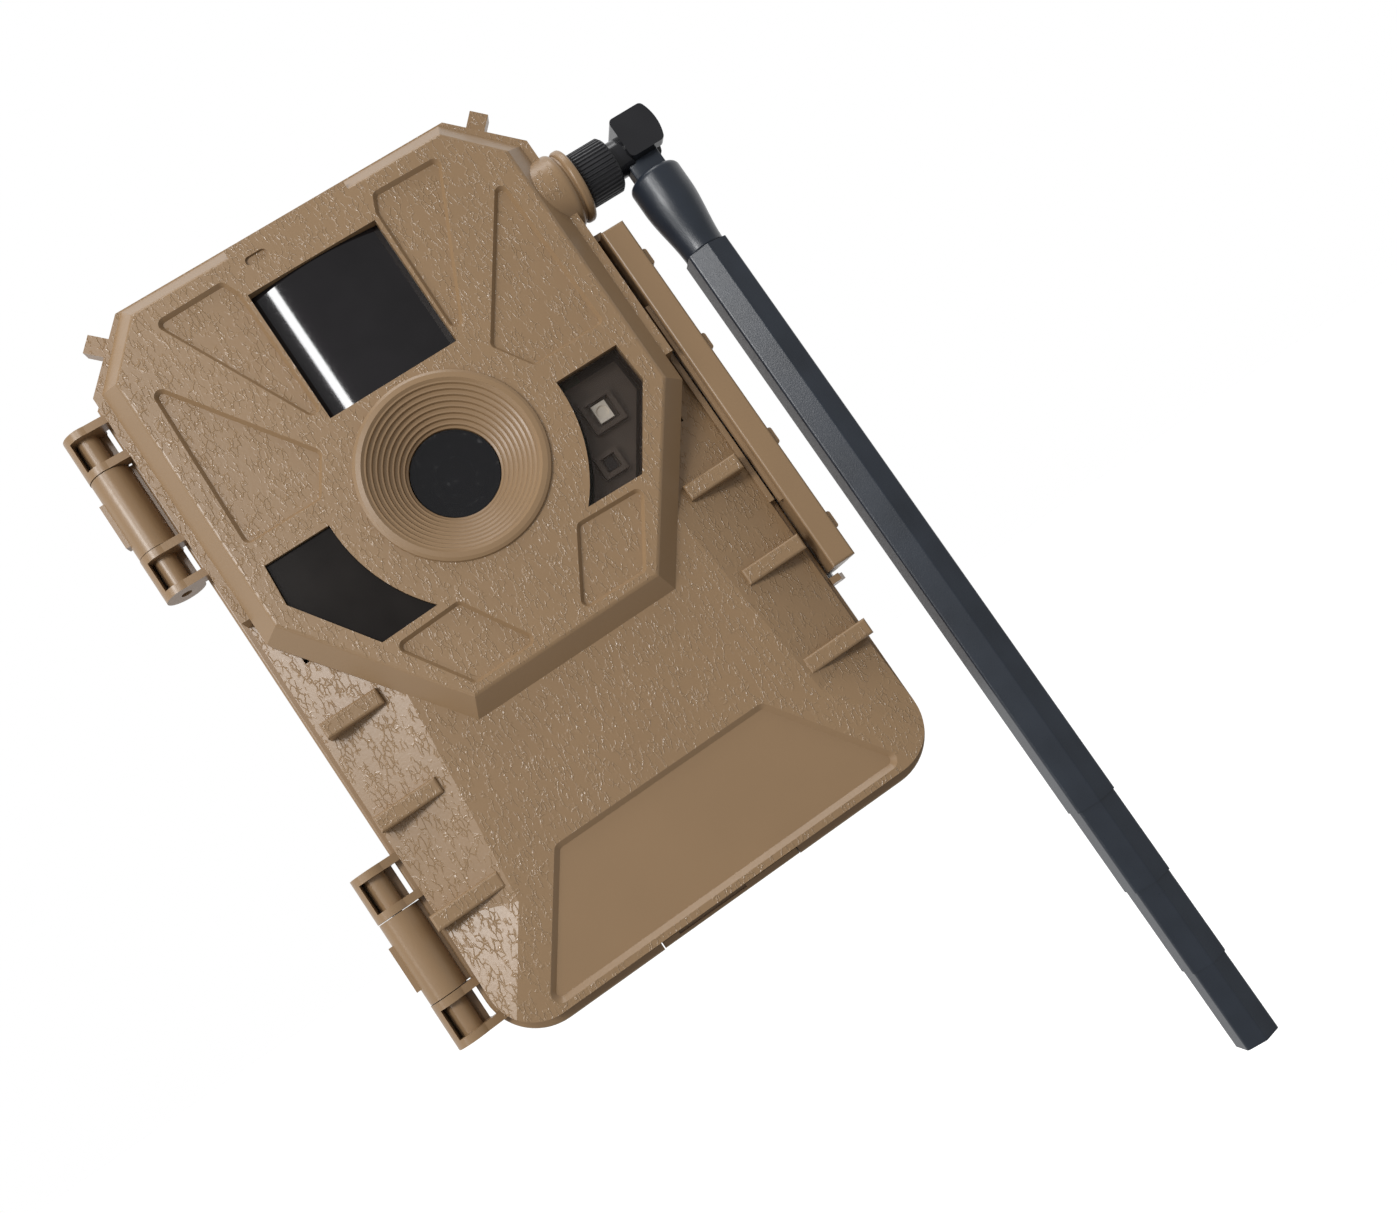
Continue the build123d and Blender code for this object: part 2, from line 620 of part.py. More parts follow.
def sensor_board():
    return block(-13.0, 13.0, 16.2, 17.4, LENS_Z - 13.0, LENS_Z + 13.0)


def ir_window():
    """Curved infrared-pass window with a gluing flange behind the bezel wall."""
    half = IR_HALF_W - 0.1
    crown = 0.7
    edge = 2.1
    front = ThreePointArc((-half, y_of(edge)), (0, y_of(crown)), (half, y_of(edge)))
    back = Polyline((half, y_of(edge)), (half, y_of(3.1)), (-half, y_of(3.1)), (-half, y_of(edge)))
    body = prism_z(make_face([front, back]), IR_BOTTOM + 0.1, IR_TOP - 0.1)
    flange = block(-half - 1.4, half + 1.4, WALL + 0.05, 3.1, IR_BOTTOM - 0.6, IR_TOP + 1.2)
    return body + flange


def pir_window():
    pane = slab(offset(lower_window(-1), -0.08), 0.8, WALL)
    return pane + slab(offset(lower_window(-1), 0.7), WALL + 0.05, 3.0) + slab(offset(lower_window(-1), -0.3), 1.6, 2.6)


def indicator_window():
    pane = slab(offset(lower_window(1), -0.08), 0.9, WALL)
    return pane + slab(offset(lower_window(1), 0.7), WALL + 0.05, 3.0) + slab(offset(lower_window(1), -0.3), 1.6, 2.6)


def ir_led_board():
    return block(-13.5, 13.5, 9.0, 10.2, 34.5, 61.5)


def ir_leds():
    """Sixteen round infrared emitters on a square grid."""
    lamps = []
    for x, z in grid((-9, -3, 3, 9), (39, 45, 51, 57)):
        lamp = rod_y(x, z, 2.5, 6.2, 8.95)
        lamps.append(lamp + Pos(x, y_of(6.2), z) * Sphere(2.5) + rod_y(x, z, 2.8, 8.2, 8.95))
    return join(lamps)


def indicator_board():
    """Dark carrier behind the tinted window with a raised square frame round each lamp."""
    plate = slab(offset(lower_window(1), -0.9), 5.4, 6.1)
    for x, z, half in ((27.6, 11.5, 3.2), (23.6, 2.9, 2.3)):
        frame = block(x - half, x + half, 3.9, 5.45, z - half, z + half)
        plate += frame - block(x - half + 0.9, x + half - 0.9, 3.0, 5.4, z - half + 0.9, z + half - 0.9)
    return plate


def indicator_led():
    body = block(27.6 - 1.4, 27.6 + 1.4, 4.3, 5.38, 11.5 - 1.75, 11.5 + 1.75)
    return body - rod_y(27.6, 11.5, 1.15, 4.0, 4.6)


def light_sensor():
    return block(23.6 - 0.9, 23.6 + 0.9, 4.6, 5.38, 2.9 - 1.1, 2.9 + 1.1)


def pir_sensor():
    """Metal-can motion sensor with its square crystal window."""
    can = rod_y(-26.0, 8.5, 4.1, 5.0, 9.0) + rod_y(-26.0, 8.5, 4.6, 8.5, 9.0)
    return can - block(-28.0, -24.0, 4.8, 5.3, 6.9, 10.1)


def pir_board():
    return block(-32.0, -19.0, 9.05, 10.1, 3.2, 14.5)


def main_board():
    board = block(-30.0, 30.0, 19.0, 20.6, -38.0, 60.0)
    for x, z in grid((-27.0, 27.0), (-35.0, 57.0)):
        board -= rod_y(x, z, 1.1, 18.0, 21.0)
    return board


def board_screws():
    return join([pan_screw(x, z, 22.0, 12.0, 1.9, 0.92) for x, z in grid((-27.0, 27.0), (-35.0, 57.0))])


def modem_module():
    body = block(-16.0, 16.0, 16.0, 18.95, -32.0, -6.0)
    return fillet(body.edges().filter_by(Axis.Y), 1.0)


def sim_holder():
    body = block(17.5, 29.5, 20.65, 22.3, -31.0, -15.0)
    return body - block(18.3, 28.7, 21.1, 21.9, -32.0, -16.0)


def sd_socket():
    body = block(-13.6, 13.6, 20.65, 24.0, -37.5, -11.0)
    return body - block(-12.15, 12.15, 21.2, 23.5, -38.0, -12.0)


def sd_card():
    """Memory card with a cut corner and a finger ridge."""
    outline = [(-12.0, -45.0), (12.0, -45.0), (12.0, -12.6), (-8.0, -12.6), (-12.0, -16.6)]
    body = slab(polygon(outline), 21.3, 23.4)
    return body - block(-9.0, 9.0, 23.1, 23.6, -44.0, -43.2)


def lcd_module():
    return block(-21.0, 21.0, 20.65, 24.3, 16.0, 52.0)


def lcd_window():
    return block(-19.4, 19.4, 24.5, 25.8, 18.1, 49.9)


def button(x):
    cap = rod_y(x, KEY_Z, 3.0, 22.9, KEY_FACE_D)
    cap = fillet(cap.edges().filter_by(GeomType.CIRCLE).sort_by(Axis.Y)[-1:], 0.5)
    return cap + rod_y(x, KEY_Z, 3.7, 22.9, 23.7)


def tact_switches():
    switches = []
    for x in KEYS.values():
        switches.append(block(x - 3, x + 3, 20.65, 21.8, KEY_Z - 3, KEY_Z + 3) + rod_y(x, KEY_Z, 1.6, 21.7, 22.2))
    return join(switches)


def mode_switch():
    """Slider of the power switch, at its left stop."""
    plate = block(-9.0, 2.0, 22.9, 24.0, -7.4, -4.2)
    knob = block(-5.0, -2.0, 23.9, 27.0, -7.1, -4.5)
    return plate + knob


def inner_cover():
    """Black panel that closes the electronics, with display, keys, switch slot and card well."""
    plate = slab(case_outline(-2.9), COVER_D0, COVER_D1)
    well = block(-17.5, 17.5, 17.5, COVER_D0 + 0.2, -65.5, -41.5)
    plate += well
    plate -= block(-16.0, 16.0, 19.0, COVER_D1 + 1, -64.0, -43.0)
    plate -= block(-12.3, 12.3, 21.0, 23.7, -44.0, -40.0)
    plate -= block(-19.5, 19.5, COVER_D0 - 1, COVER_D1 + 1, 18.0, 50.0)
    for x in KEYS.values():
        plate -= rod_y(x, KEY_Z, 3.1, COVER_D0 - 1, COVER_D1 + 1)
    plate -= block(-5.2, 3.7, COVER_D0 - 1, COVER_D1 + 1, -7.2, -4.4)
    for x in (-POSTS_X, POSTS_X):
        for z in POSTS_Z:
            plate -= rod_y(x, z, 1.2, COVER_D0 - 1, COVER_D1 + 1)
    for x in (-8, 0, 8):
        plate -= rod_y(x, 59.0, 1.65, 25.5, COVER_D1 + 1)
    return plate


def cover_screws():
    return join([pan_screw(x, z, 27.35, 12.0) for x in (-POSTS_X, POSTS_X) for z in POSTS_Z])


def link_pads():
    return join([rod_y(x, 59.0, 1.6, 25.55, 26.3) for x in (-8, 0, 8)])


# ---------------------------------------------------------------- antenna
def sma_jack():
    """Threaded bulkhead socket with an inner flange and a centre contact."""
    body = rod_x(SMA_D, SMA_Z, SMA_R, 40.4, 54.0) + rod_x(SMA_D, SMA_Z, 4.4, 42.8, 44.15)
    body -= rod_x(SMA_D, SMA_Z, 2.3, 50.0, 55.0)
    return body + rod_x(SMA_D, SMA_Z, 0.65, 49.9, 53.6)


def sma_lock_nut():
    """Hexagon nut that clamps the socket from inside."""
    hexagon = Plane.YZ.offset(40.9) * (Pos(y_of(SMA_D), SMA_Z) * RegularPolygon(4.4, 6, major_radius=False))
    nut = extrude(hexagon, amount=1.8, dir=(1, 0, 0))
    return nut - rod_x(SMA_D, SMA_Z, SMA_R + 0.03, 40.0, 44.0)


def antenna_nut():
    """Knurled coupling nut."""
    flutes = 40
    points = []
    for i in range(flutes):
        for offset_angle, r in ((0.0, NUT_R), (0.3, NUT_R), (0.5, NUT_R - 0.28), (0.8, NUT_R - 0.28)):
            a = 2 * math.pi * (i + offset_angle) / flutes
            points.append((y_of(SMA_D) + r * math.cos(a), SMA_Z + r * math.sin(a)))
    body = extrude(Plane.YZ.offset(NUT_X0) * polygon(points), amount=NUT_X1 - NUT_X0, dir=(1, 0, 0))
    limit = rod_x(SMA_D, SMA_Z, NUT_R, NUT_X0, NUT_X1)
    body &= chamfer(limit.edges().filter_by(GeomType.CIRCLE), 0.5)
    body -= rod_x(SMA_D, SMA_Z, SMA_R + 0.06, NUT_X0 - 1, 54.4)
    return body - rod_x(SMA_D, SMA_Z, 2.96, 54.0, NUT_X1 + 1)


def antenna_elbow():
    """Swivel elbow: round shank, and a fork block with one curved side."""
    left = -2.4
    right = 4.7
    top = 5.6
    low = -2.6
    sides = Polyline((right, low), (left, low), (left, top), (right, top))
    curve = ThreePointArc((right, top), (right + 0.95, (top + low) / 2), (right, low))
    face = Pos(PIVOT_X, SMA_Z) * make_face([sides, curve])
    body = slab(face, SMA_D - 4.2, SMA_D + 4.2)
    body = fillet(body.edges().filter_by(Axis.Y), 1.0)
    body += rod_x(SMA_D, SMA_Z, 2.9, 54.1, 59.4)
    body += rod_x(SMA_D, SMA_Z, 3.6, 56.3, 59.4)
    slot = rod_y(PIVOT_X, SMA_Z, 3.45, SMA_D - 1.9, SMA_D + 1.9)
    slot += block(PIVOT_X - 3.45, PIVOT_X + 12, SMA_D - 1.9, SMA_D + 1.9, SMA_Z - 12, SMA_Z)
    slot += block(PIVOT_X, PIVOT_X + 12, SMA_D - 1.9, SMA_D + 1.9, SMA_Z - 12, SMA_Z + 3.45)
    body -= slot
    return body - rod_y(PIVOT_X, SMA_Z, PIVOT_PIN_R + 0.02, SMA_D - 3.4, 20)


def pivot_pin():
    """Steel pin in a bore that stays closed at the front."""
    return rod_y(PIVOT_X, SMA_Z, PIVOT_PIN_R, SMA_D - 3.3, SMA_D + 4.1)


def blade_section(shrink):
    """Six-sided cross-section with a front and a back ridge."""
    w = BLADE_W / 2 - shrink
    side = BLADE_SIDE / 2 - shrink * 0.6
    ridge = BLADE_DEPTH / 2 - shrink
    face = polygon([(w, -side), (w, side), (0, ridge), (-w, side), (-w, -side), (0, -ridge)])
    return fillet(face.vertices(), 0.6)


def antenna_knuckle():
    """Round knuckle with the pivot tongue, blending into the blade's section."""
    centre = Pos(PIVOT_X, y_of(SMA_D), SMA_Z)
    collar = Pos(0, 0, -KNUCKLE_TOP - 3.0) * Cylinder(KNUCKLE_R, 6.0)
    collar = fillet(collar.edges().filter_by(GeomType.CIRCLE).sort_by(Axis.Z)[-1:], 0.8)
    round_end = Pos(0, 0, -KNUCKLE_TOP - 6.0) * Circle(KNUCKLE_R)
    blade_end = Pos(0, 0, -SEAM) * RectangleRounded(BLADE_W, BLADE_DEPTH - 0.6, 2.2)
    neck = loft([round_end, blade_end])
    tongue = Rot(90, 0, 0) * Cylinder(3.3, 3.6)
    tongue += Pos(0, 0, -4.0) * Box(5.4, 3.6, 8.0)
    body = centre * (collar + neck + tongue)
    return body - rod_y(PIVOT_X, SMA_Z, PIVOT_PIN_R + 0.06, 0, 20)


def antenna_blade():
    """Long blade with three small steps near its tip."""
    centre = Pos(PIVOT_X, y_of(SMA_D), SMA_Z)
    start = SEAM + 0.1
    body = None
    for i, end in enumerate(BLADE_STEPS):
        segment = Pos(0, 0, -end) * extrude(blade_section(BLADE_STEP * i), amount=end - start, dir=(0, 0, 1))
        body = segment if body is None else body + segment
        start = end
    return centre * body


# ---------------------------------------------------------------- export
PARTS = {
    "rear_shell": rear_shell(),
    "tree_bracket": tree_bracket(),
    "shell_screws": shell_screws(),
    "hinge_pins": hinge_pins(),
    "tripod_insert": tripod_insert(),
    "battery_tray": battery_tray(),
    "aa_cells": aa_cells(),
    "cell_springs": cell_springs(),
    "cell_contacts": cell_contacts(),
    "link_pins": link_pins(),
    "dc_jack": dc_jack(),
    "port_cover_pin": port_cover_pin(),
    "port_cover": port_cover(),
    "latch_pin": latch_pin(),
    "latch_bar": latch_bar(),
    "front_housing": front_housing(),
    "antenna_boss": antenna_boss(),
    "door_seal": door_seal(),
    "lens_ring": lens_ring(),
    "lens_cover_glass": lens_cover_glass(),
    "lens_barrel": lens_barrel(),
    "lens_holder": lens_holder(),
    "lens_elements": lens_elements(),
    "ir_cut_filter": ir_cut_filter(),
    "image_sensor": image_sensor(),
    "sensor_board": sensor_board(),
    "ir_window": ir_window(),
    "pir_window": pir_window(),
    "indicator_window": indicator_window(),
    "ir_led_board": ir_led_board(),
    "ir_leds": ir_leds(),
    "indicator_board": indicator_board(),
    "indicator_led": indicator_led(),
    "light_sensor": light_sensor(),
    "pir_sensor": pir_sensor(),
    "pir_board": pir_board(),
    "main_board": main_board(),
    "board_screws": board_screws(),
    "modem_module": modem_module(),
    "sim_holder": sim_holder(),
    "sd_socket": sd_socket(),
    "sd_card": sd_card(),
    "lcd_module": lcd_module(),
    "lcd_window": lcd_window(),
    "tact_switches": tact_switches(),
    "mode_switch": mode_switch(),
    "inner_cover": inner_cover(),
    "cover_screws": cover_screws(),
    "link_pads": link_pads(),
    "sma_jack": sma_jack(),
    "sma_lock_nut": sma_lock_nut(),
    "antenna_nut": antenna_nut(),
    "antenna_elbow": antenna_elbow(),
    "pivot_pin": pivot_pin(),
    "antenna_knuckle": antenna_knuckle(),
    "antenna_blade": antenna_blade(),
}
PARTS.update({name: button(x) for name, x in KEYS.items()})

for name, shape in PARTS.items():
    export_step(shape, f"parts/{name}.step")
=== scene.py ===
"""Looks of the strap-on trail camera: finishes, antenna knuckle, studio and camera.

The frame gives the shape in metres: X to the viewer's right, Y back to the tree, Z up.
"""
import json
import math
import bmesh
import bpy
import numpy as np
from mathutils import Matrix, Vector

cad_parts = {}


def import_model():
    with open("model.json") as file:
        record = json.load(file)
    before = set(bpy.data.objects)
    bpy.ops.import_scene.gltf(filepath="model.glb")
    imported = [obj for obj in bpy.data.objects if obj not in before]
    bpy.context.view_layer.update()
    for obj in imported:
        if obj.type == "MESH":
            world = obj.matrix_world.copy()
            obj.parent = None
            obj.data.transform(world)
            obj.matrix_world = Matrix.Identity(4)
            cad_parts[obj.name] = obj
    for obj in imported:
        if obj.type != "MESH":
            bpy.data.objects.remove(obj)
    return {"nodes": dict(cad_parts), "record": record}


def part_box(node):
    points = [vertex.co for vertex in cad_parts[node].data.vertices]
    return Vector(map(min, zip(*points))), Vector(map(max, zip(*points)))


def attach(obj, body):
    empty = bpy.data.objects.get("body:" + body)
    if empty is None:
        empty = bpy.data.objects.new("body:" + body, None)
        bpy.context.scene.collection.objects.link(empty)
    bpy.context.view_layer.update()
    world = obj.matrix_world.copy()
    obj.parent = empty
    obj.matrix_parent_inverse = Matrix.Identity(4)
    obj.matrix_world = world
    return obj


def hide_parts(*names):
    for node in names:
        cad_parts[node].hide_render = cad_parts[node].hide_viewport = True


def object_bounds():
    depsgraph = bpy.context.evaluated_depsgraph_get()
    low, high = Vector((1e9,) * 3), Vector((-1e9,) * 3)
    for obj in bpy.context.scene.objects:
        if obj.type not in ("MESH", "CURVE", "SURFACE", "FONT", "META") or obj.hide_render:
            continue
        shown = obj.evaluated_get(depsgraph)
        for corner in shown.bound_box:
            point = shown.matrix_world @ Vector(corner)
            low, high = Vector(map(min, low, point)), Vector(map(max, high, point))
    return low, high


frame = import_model()
cad_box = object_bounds()

MM = 0.001
TAN = (0.272, 0.172, 0.090)
# paler tan painted on the raised grain streaks: a painted highlight
TAN_PAINTED_GLINT = (0.360, 0.250, 0.155)
TAN_ROUGHNESS = 0.29
TAN_FINE_SCALE = 1.6
TAN_FINE_SHARE = 0.16        # relief of the fine texture as a share of the depth
GRAIN_STRETCH = (1.0, 1.0, 0.45)
GRAIN_DEPTH = 0.075
PLAIN_DEPTH = 0.05
PLATE_TOP_Z = -47.8          # lower plate: height range, and half-width growing downwards
PLATE_FOOT_Z = -68.3
PLATE_HALF_W = 21.0
PLATE_SPREAD = 0.707
EDGE_FADE = 0.2
CASE_HALF_W = 44.6           # outside this lie hinge blocks and boss
SHELL_HALF_W = 46.2
SHELL_RIM_DEPTH = 44.0       # the shell is grained behind this distance from the tree rest
KNUCKLE_TOP = 6.1            # below the tilt axis
KNUCKLE_R = 5.25
CROWN = 1.2
NECK_START = 5.0
SEAM = 23.5                  # where the blade begins, below the tilt axis
BLADE_HALF_W = 4.1
TONGUE_R = 3.3
TONGUE_DROP = 7.5
TONGUE_HALF_T = 1.8
TONGUE_EDGE = 0.3
FRONT_LIGHT = 0.44           # brightness of the surroundings in front, and straight below
LOW_LIGHT = 0.66
FLOOR_GAP = 0.015
FLOOR_HALF = 6.0
FLOOR_GLOW = 0.35
FLOOR_PALE = (0.92, 0.92, 0.92, 1.0)
WHITE = (1.0, 1.0, 1.0, 1.0)
SOFT_LIGHTS = (              # name, place, target, width and height, watts
    ("key", (-0.42, -0.60, 0.215), (0, -0.03, 0), (0.15, 0.15), 2.3),
    ("antenna_sheen", (-0.62, -0.42, -0.02), (0.06, -0.05, -0.04), (0.10, 0.50), 0.8),
    ("top", (0.10, -0.25, 0.75), (0, -0.03, 0), (0.40, 0.30), 1.5),
    ("window_strip", (-0.165, -0.60, 0.26), (-0.009, -0.055, 0.048), (0.035, 0.22), 0.7),
)
SENSOR_WIDTH = 36.0
FOCAL_LENGTH = 36.077
VIEW_PLACE = (-0.015874, -0.293102, -0.043774)
VIEW_RIGHT = (0.8204, -0.0889, -0.5648)
VIEW_FORWARD = (0.1546, 0.9856, 0.0693)
VIEW_UP = (0.5505, -0.1441, 0.8223)


# ---------------------------------------------------------------- shader maths
class Value:
    """A shader socket that adds, subtracts, multiplies and divides."""

    def __init__(self, nodes, socket):
        self.nodes = nodes
        self.socket = socket

    def maths(self, operation, *others, clamp=False):
        settings = {"operation": operation, "use_clamp": clamp}
        inputs = dict(enumerate((self, *others)))
        return self.nodes.node("ShaderNodeMath", settings, inputs)

    def __add__(self, other):
        return self.maths("ADD", other)

    def __sub__(self, other):
        return self.maths("SUBTRACT", other)

    def __mul__(self, other):
        return self.maths("MULTIPLY", other)

    def __truediv__(self, other):
        return self.maths("DIVIDE", other)

    def __radd__(self, other):
        return self + other

    def __rmul__(self, other):
        return self * other

    def __rsub__(self, other):
        return (self * -1) + other

    def __abs__(self):
        return self.maths("ABSOLUTE")

    def ramp(self, low, high):
        """0 at low and 1 at high, clamped, with a straight run between."""
        return ((self - low) / (high - low)).maths("ADD", 0.0, clamp=True)


class Nodes:
    """A node tree that feeds one end node, and the one method that adds a node to it."""

    def __init__(self, tree, end):
        self.tree = tree
        self.end = tree.nodes[end]

    def feed(self, socket, value):
        self.tree.links.new(value.socket, self.end.inputs[socket])

    def node(self, kind, settings, inputs, output=0):
        made = self.tree.nodes.new(kind)
        for key, value in settings.items():
            setattr(made, key, value)
        for key, value in inputs.items():
            if isinstance(value, Value):
                self.tree.links.new(value.socket, made.inputs[key])
            else:
                made.inputs[key].default_value = value
        return Value(self, made.outputs[output])


class Shader(Nodes):
    """A material whose surface is one Principled shader."""

    def __init__(self, name, **constants):
        self.material = bpy.data.materials.new(name)
        self.material.use_nodes = True
        super().__init__(self.material.node_tree, "Principled BSDF")
        for socket, value in constants.items():
            self.end.inputs[socket.replace("_", " ")].default_value = value

    def place(self, stretch=(1.0, 1.0, 1.0)):
        """Object coordinates in millimetres, stretched per axis."""
        here = self.node("ShaderNodeTexCoord", {}, {}, "Object")
        scale = tuple(s / MM for s in stretch)
        return self.node("ShaderNodeMapping", {}, {"Vector": here, "Scale": scale})

    def along(self, axis):
        """The object coordinate along X, Y or Z in millimetres."""
        return self.node("ShaderNodeSeparateXYZ", {}, {0: self.place()}, axis)

    def noise(self, scale, detail=2.0, stretch=(1.0, 1.0, 1.0), distortion=0.0):
        inputs = {"Vector": self.place(stretch), "Scale": scale, "Detail": detail, "Distortion": distortion}
        return self.node("ShaderNodeTexNoise", {}, inputs, "Fac")

    def mix(self, factor, a, b):
        """Colour a where factor is 0 and b where it is 1."""
        settings = {"data_type": "RGBA"}
        colours = [c if isinstance(c, Value) else (*c, 1.0) for c in (a, b)]
        return self.node("ShaderNodeMix", settings, {0: factor, 6: colours[0], 7: colours[1]}, 2)

    def bump(self, height, distance, strength=1.0):
        """Relief of that many millimetres where height runs from 0 to 1."""
        inputs = {"Height": height, "Distance": distance * MM, "Strength": strength}
        self.feed("Normal", self.node("ShaderNodeBump", {}, inputs))


# ---------------------------------------------------------------- finishes
def hide_grain(shader):
    """Raised wavy streaks: cell borders of a warped Voronoi pattern, kept only where a noise is high."""
    waves = {"Vector": shader.place(), "Scale": 0.8, "Detail": 2.0}
    warp = shader.node("ShaderNodeTexNoise", {}, waves, "Color")
    push = shader.node("ShaderNodeVectorMath", {"operation": "SCALE"}, {0: warp, "Scale": 0.8})
    place = shader.place(GRAIN_STRETCH)
    where = shader.node("ShaderNodeVectorMath", {"operation": "ADD"}, {0: place, 1: push})
    settings = {"feature": "DISTANCE_TO_EDGE"}
    border = shader.node("ShaderNodeTexVoronoi", settings, {"Vector": where, "Scale": 1.2}, "Distance")
    ridge = 1 - border.ramp(0.0, 0.11)
    kept = shader.noise(0.75, 1.0, GRAIN_STRETCH).ramp(0.42, 0.56)
    return ridge * kept


def tan_colour(shader):
    """Tan that drifts by a twentieth from place to place."""
    cloud = shader.noise(0.05, 3.0)
    return shader.mix(cloud.ramp(0.35, 0.65), TAN, tuple(c * 1.05 for c in TAN))


def tan_finish(name, smooth=None):
    """Satin tan moulding with hide grain, whose raised streaks are also painted paler as a painted
    highlight. smooth gives where it fades out, from 0 grained to 1 plain.
    """
    shader = Shader(name)
    grain = hide_grain(shader)
    if smooth is not None:
        grain = grain * (1 - smooth(shader))
    fine = shader.noise(TAN_FINE_SCALE, 2.0)
    # the raised grain streaks are painted paler tan, a painted highlight on the real grain
    shader.feed("Base Color", shader.mix(grain * 0.25, tan_colour(shader), TAN_PAINTED_GLINT))
    shader.feed("Roughness", TAN_ROUGHNESS + fine * 0.08 - grain * 0.14)
    shader.bump(grain + fine * TAN_FINE_SHARE, GRAIN_DEPTH)
    return shader.material


def plain_tan(name):
    """Satin tan moulding with no grain."""
    shader = Shader(name)
    fine = shader.noise(TAN_FINE_SCALE, 2.0)
    shader.feed("Base Color", tan_colour(shader))
    shader.feed("Roughness", TAN_ROUGHNESS + fine * 0.08)
    shader.bump(fine * TAN_FINE_SHARE, PLAIN_DEPTH)
    return shader.material


def front_facing(shader):
    """1 where the surface faces forwards within about 25 degrees, 0 on side walls."""
    normal = shader.node("ShaderNodeTexCoord", {}, {}, "Normal")
    backwards = shader.node("ShaderNodeSeparateXYZ", {}, {0: normal}, "Y")
    return (backwards * -1).ramp(0.88, 0.94)


def door_smooth(shader):
    """1 on the lower plate, on side walls, and on the hinge blocks and the antenna boss."""
    middle = (CASE_HALF_W - abs(shader.along("X"))).ramp(0.0, 0.4)
    return 1 - (1 - plate_area(shader)) * front_facing(shader) * middle


def shell_smooth(shader):
    """1 on the shell's hinge barrels and on its front rim."""
    between_hinges = (SHELL_HALF_W - abs(shader.along("X"))).ramp(0.0, 0.3)
    behind_rim = (shader.along("Y") + SHELL_RIM_DEPTH).ramp(0.0, 0.5)
    return 1 - between_hinges * behind_rim


def plate_area(shader):
    """1 on the lower plate: between its two heights and inside its sloping ends."""
    z = shader.along("Z")
    half = PLATE_HALF_W + (PLATE_TOP_Z - z) * PLATE_SPREAD
    inside = (half - abs(shader.along("X"))).ramp(-EDGE_FADE, EDGE_FADE)
    below_top = (PLATE_TOP_Z - z).ramp(-EDGE_FADE, EDGE_FADE)
    above_foot = (z - PLATE_FOOT_Z).ramp(-EDGE_FADE, EDGE_FADE)
    return inside * below_top * above_foot


def plastic(colour, roughness, speckle=0.03, specular=0.5):
    """Maker of a moulded plastic with a fine spark-eroded texture."""
    def make(name):
        shader = Shader(name, Specular_IOR_Level=specular)
        fine = shader.noise(5.0, 3.0)
        cloud = shader.noise(0.12, 2.0)
        lighter = tuple(c * 1.35 + 0.002 for c in colour)
        shader.feed("Base Color", shader.mix(cloud.ramp(0.3, 0.7), colour, lighter))
        shader.feed("Roughness", roughness + (fine - 0.5) * 0.12)
        shader.bump(fine, speckle)
        return shader.material
    return make


def metal(colour, roughness, stretch=(1.0, 1.0, 1.0)):
    """Maker of a metal with brushing along the axis that is stretched."""
    def make(name):
        shader = Shader(name, Metallic=1.0)
        lines = shader.noise(4.0, 3.0, stretch)
        shader.feed("Base Color", shader.mix(lines, tuple(c * 0.85 for c in colour), colour))
        shader.feed("Roughness", roughness + (lines - 0.5) * 0.2)
        shader.bump(lines, 0.01)
        return shader.material
    return make


def clear(colour, alpha, roughness=0.05):
    """Maker of a tinted clear pane with faint dust that dulls its polish."""
    def make(name):
        shader = Shader(name, Alpha=alpha)
        dust = shader.noise(0.8, 4.0).ramp(0.62, 0.75)
        shader.feed("Base Color", shader.mix(dust * 0.2, colour, (0.3, 0.3, 0.3)))
        shader.feed("Roughness", roughness + dust * 0.12)
        return shader.material
    return make


FINISHES = {
    "tan_shell": tan_finish,
    "tan_smooth": plain_tan,
    "black_plastic": plastic((0.018, 0.018, 0.020), 0.42),
    "black_gloss": plastic((0.010, 0.010, 0.012), 0.18, 0.008),
    "antenna_plastic": plastic((0.015, 0.020, 0.029), 0.30, 0.020),
    "ir_film": plastic((0.006, 0.005, 0.006), 0.06, 0.0, 0.45),
    "pir_film": plastic((0.010, 0.008, 0.007), 0.30, 0.01, 0.12),
    "tinted_clear": clear((0.060, 0.044, 0.034), 0.22),
    "optic_glass": clear((0.02, 0.03, 0.05), 0.6),
    "cover_glass": clear((0.010, 0.010, 0.012), 0.72),
    "seal_rubber": plastic((0.02, 0.02, 0.02), 0.7),
    "pcb": plastic((0.010, 0.060, 0.028), 0.4),
    "pcb_dark": plastic((0.080, 0.060, 0.046), 0.35),
    "steel": metal((0.56, 0.57, 0.58), 0.32, (0.1, 1.0, 1.0)),
    "screw_steel": metal((0.30, 0.30, 0.31), 0.38),
    "brass": metal((0.72, 0.55, 0.27), 0.3),
    "gold_plate": metal((0.85, 0.65, 0.30), 0.25),
    "cell_wrap": plastic((0.03, 0.06, 0.10), 0.3),
    "led_lens": plastic((0.55, 0.55, 0.60), 0.12, 0.0),
    "led_white": plastic((0.90, 0.82, 0.70), 0.30, 0.01),
    "sensor_can": metal((0.60, 0.60, 0.58), 0.3),
    "display": plastic((0.12, 0.15, 0.12), 0.3, 0.005),
    "display_window": clear((0.35, 0.37, 0.35), 0.35),
    "key_rubber": plastic((0.14, 0.14, 0.15), 0.6),
    "card_plastic": plastic((0.02, 0.03, 0.06), 0.4),
}


def paint(obj, material):
    """The object shows this one material."""
    if not obj.material_slots:
        obj.data.materials.append(material)
    for holder in obj.material_slots:
        holder.material = material


def paint_nodes():
    made = {slot: make(slot) for slot, make in FINISHES.items()}
    for part in frame["record"]["subparts"]:
        paint(frame["nodes"][part["node"]], made[part["material_slot"]])
    paint(frame["nodes"]["front_housing"], tan_finish("door_tan", door_smooth))
    paint(frame["nodes"]["rear_shell"], tan_finish("shell_tan", shell_smooth))
    paint(frame["nodes"]["latch_bar"], made["tan_smooth"])
    return made


